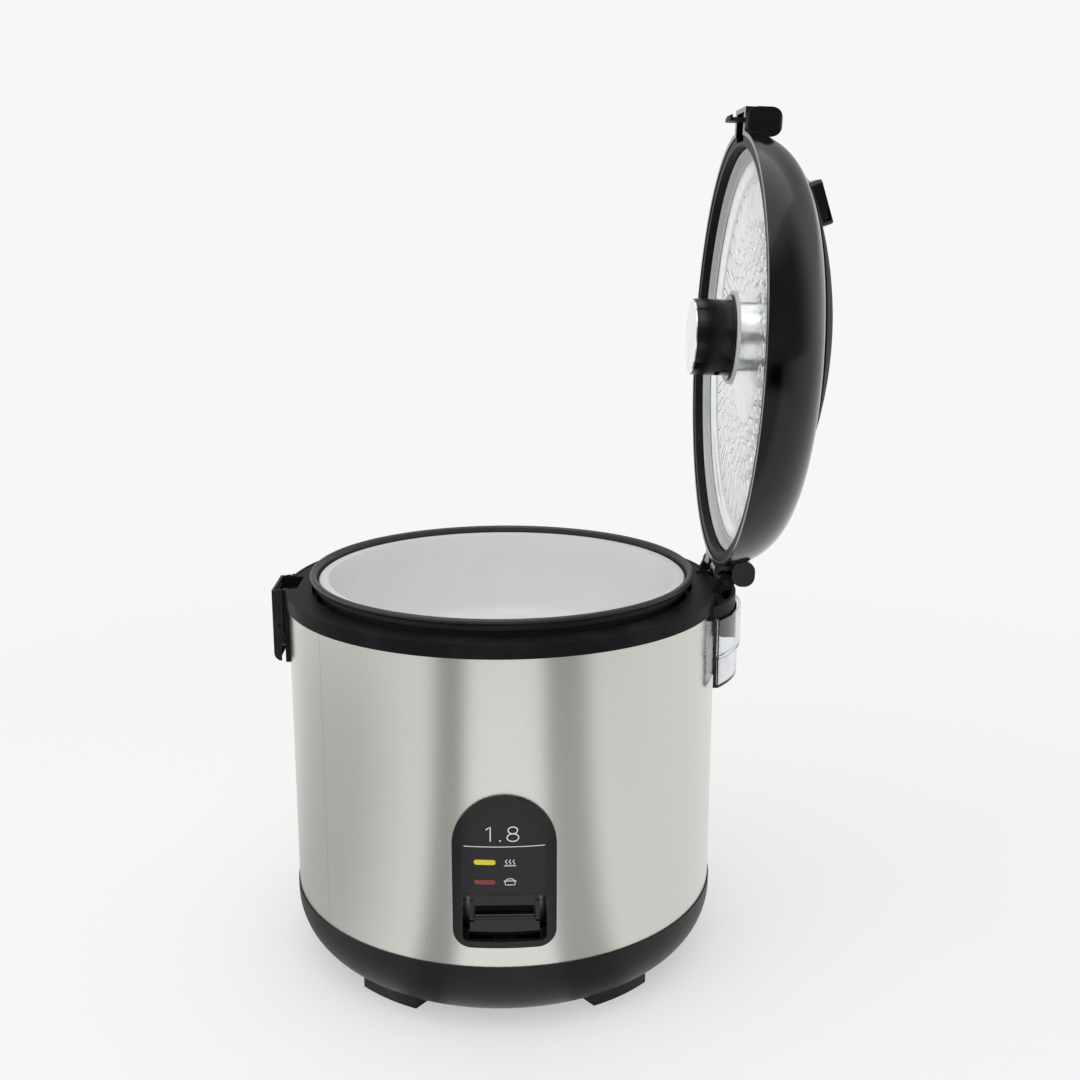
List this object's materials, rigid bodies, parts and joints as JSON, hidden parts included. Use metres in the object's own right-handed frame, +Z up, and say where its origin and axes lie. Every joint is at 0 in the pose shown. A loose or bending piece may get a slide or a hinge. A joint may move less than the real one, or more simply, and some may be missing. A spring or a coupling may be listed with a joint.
{
  "type": "rice cooker",
  "caption": "Jar rice cooker: steel drum body with a hinged domed lid held by a latch, lift-out pot and steam tray, front cook key with two lights, dew collector and feet.",
  "frame": {"origin": "on the body's vertical axis at table level, midway between the feet", "axes": "+Z up; -Y is the front with the control panel; +X is the hinge side, where the lid stands open; -X is the latch side; +Y is the back with the power inlet"},
  "size_m": [0.3243, 0.2597, 0.4995],
  "materials": {
    "steel_shell": "fine level brushing, satin",
    "black_satin": "satin moulding",
    "black_gloss": "polished moulding",
    "foot_rubber": "matt",
    "screw_steel": "zinc plated",
    "liner_steel": "rolled sheet",
    "plate_aluminium": "cast and turned",
    "element_steel": "annealed tube",
    "mica": "wound heater band",
    "ceramic": "glazed sleeve",
    "thermostat": "moulded body",
    "spring_steel": "wire",
    "ferrite": "sintered",
    "brass": "turned",
    "key_black": "glossy key",
    "switch_black": "moulded body",
    "label_black": "printed label",
    "lens_yellow": "clear coloured lens",
    "lens_red": "clear coloured lens",
    "holder_cream": "moulding",
    "lamp_glass": "neon lamps",
    "pot_coating": "dark non-stick coating on aluminium",
    "tray_white": "white moulding",
    "gasket": "pale silicone",
    "lid_plate": "polished sheet",
    "end_polished": "polished face",
    "clear": "clear moulding"
  },
  "bodies": {
    "body": {"base_cup": "black_satin", "feet": "foot_rubber", "base_screws": "screw_steel", "outer_shell": "steel_shell", "top_ring": "black_satin", "ring_screws": "screw_steel", "inner_liner": "liner_steel", "band_heater": "mica", "heating_plate": "plate_aluminium", "heating_element": "element_steel", "plate_spacers": "screw_steel", "thermal_fuse": "ceramic", "warm_thermostat": "thermostat", "sensor_bracket": "liner_steel", "sensor_spring": "spring_steel", "pivot_pin": "screw_steel", "lever_spring": "spring_steel", "switch_bracket": "screw_steel", "micro_switch": "switch_black", "control_bezel": "black_gloss", "label_plate": "label_black", "warm_lens": "lens_yellow", "cook_lens": "lens_red", "lamp_holder": "holder_cream", "indicator_lamps": "lamp_glass", "power_inlet": "black_satin", "inlet_pins": "brass", "hinge_pin": "black_satin", "hinge_spring": "spring_steel", "latch_pin": "black_satin", "latch_spring": "spring_steel", "collector_bracket": "black_satin"},
    "sensor": {"sensor_cap": "plate_aluminium"},
    "magnet": {"magnet": "ferrite", "magnet_rod": "brass"},
    "rocker": {"cook_key": "key_black", "lever_arm": "screw_steel"},
    "pot": {"inner_pot": "pot_coating"},
    "tray": {"steam_tray": "tray_white"},
    "lid": {"lid_cover": "black_gloss", "lid_pod": "black_gloss", "lid_inner_frame": "black_satin", "lid_screws": "screw_steel", "lid_hook": "black_satin"},
    "inner_lid": {"inner_lid": "lid_plate", "lid_gasket": "gasket", "steam_valve": "black_gloss", "valve_seal": "gasket", "valve_end": "end_polished"},
    "vent": {"vent_cap": "black_gloss"},
    "latch": {"latch_lever": "black_satin"},
    "collector": {"dew_collector": "clear"}
  },
  "joints": [
    {"name": "lid_hinge", "type": "hinge", "parent": "body", "child": "lid", "pos_m": [0.131, 0, 0.2315], "axis": [0, 1, 0], "range_deg": [-92, 0], "stiffness_Nm_per_rad": 0.55},
    {"name": "pot_lift", "type": "slide", "parent": "body", "child": "pot", "axis": [0, 0, 1], "range_m": [0, 0.112]},
    {"name": "tray_lift", "type": "slide", "parent": "pot", "child": "tray", "axis": [0, 0, 1], "range_m": [0, 0.116]},
    {"name": "collector_slide", "type": "slide", "parent": "body", "child": "collector", "axis": [0, 0, -1], "range_m": [0, 0.03]},
    {"name": "cook_press", "type": "hinge", "parent": "body", "child": "rocker", "pos_m": [0, -0.055, 0.0408], "axis": [1, 0, 0], "range_deg": [0, 4.5], "stiffness_Nm_per_rad": 0.6, "springref_deg": -8.59, "deforming": ["lever_spring"]},
    {"name": "magnet_rise", "type": "slide", "parent": "body", "child": "magnet", "axis": [0, 0, 1], "range_m": [0, 0.00435]},
    {"name": "sensor_press", "type": "slide", "parent": "body", "child": "sensor", "axis": [0, 0, 1], "range_m": [-0.002, 0], "stiffness_N_per_m": 500, "springref_m": 0.004, "deforming": ["sensor_spring"]},
    {"name": "latch_press", "type": "hinge", "parent": "body", "child": "latch", "pos_m": [-0.1324, 0, 0.204], "axis": [0, -1, 0], "range_deg": [0, 5], "stiffness_Nm_per_rad": 0.3, "springref_deg": -8.59, "deforming": ["latch_spring"]},
    {"name": "vent_cap_pull", "type": "slide", "parent": "lid", "child": "vent", "axis": [0.9498, 0, 0.3127], "range_m": [0, 0.012]},
    {"name": "inner_lid_pull", "type": "slide", "parent": "lid", "child": "inner_lid", "axis": [-0.9994, 0, 0.0349], "range_m": [0, 0.01]}
  ],
  "couplings": [
    {"joint": "magnet_rise", "follows": "cook_press", "m_per_rad": 0.055}
  ]
}
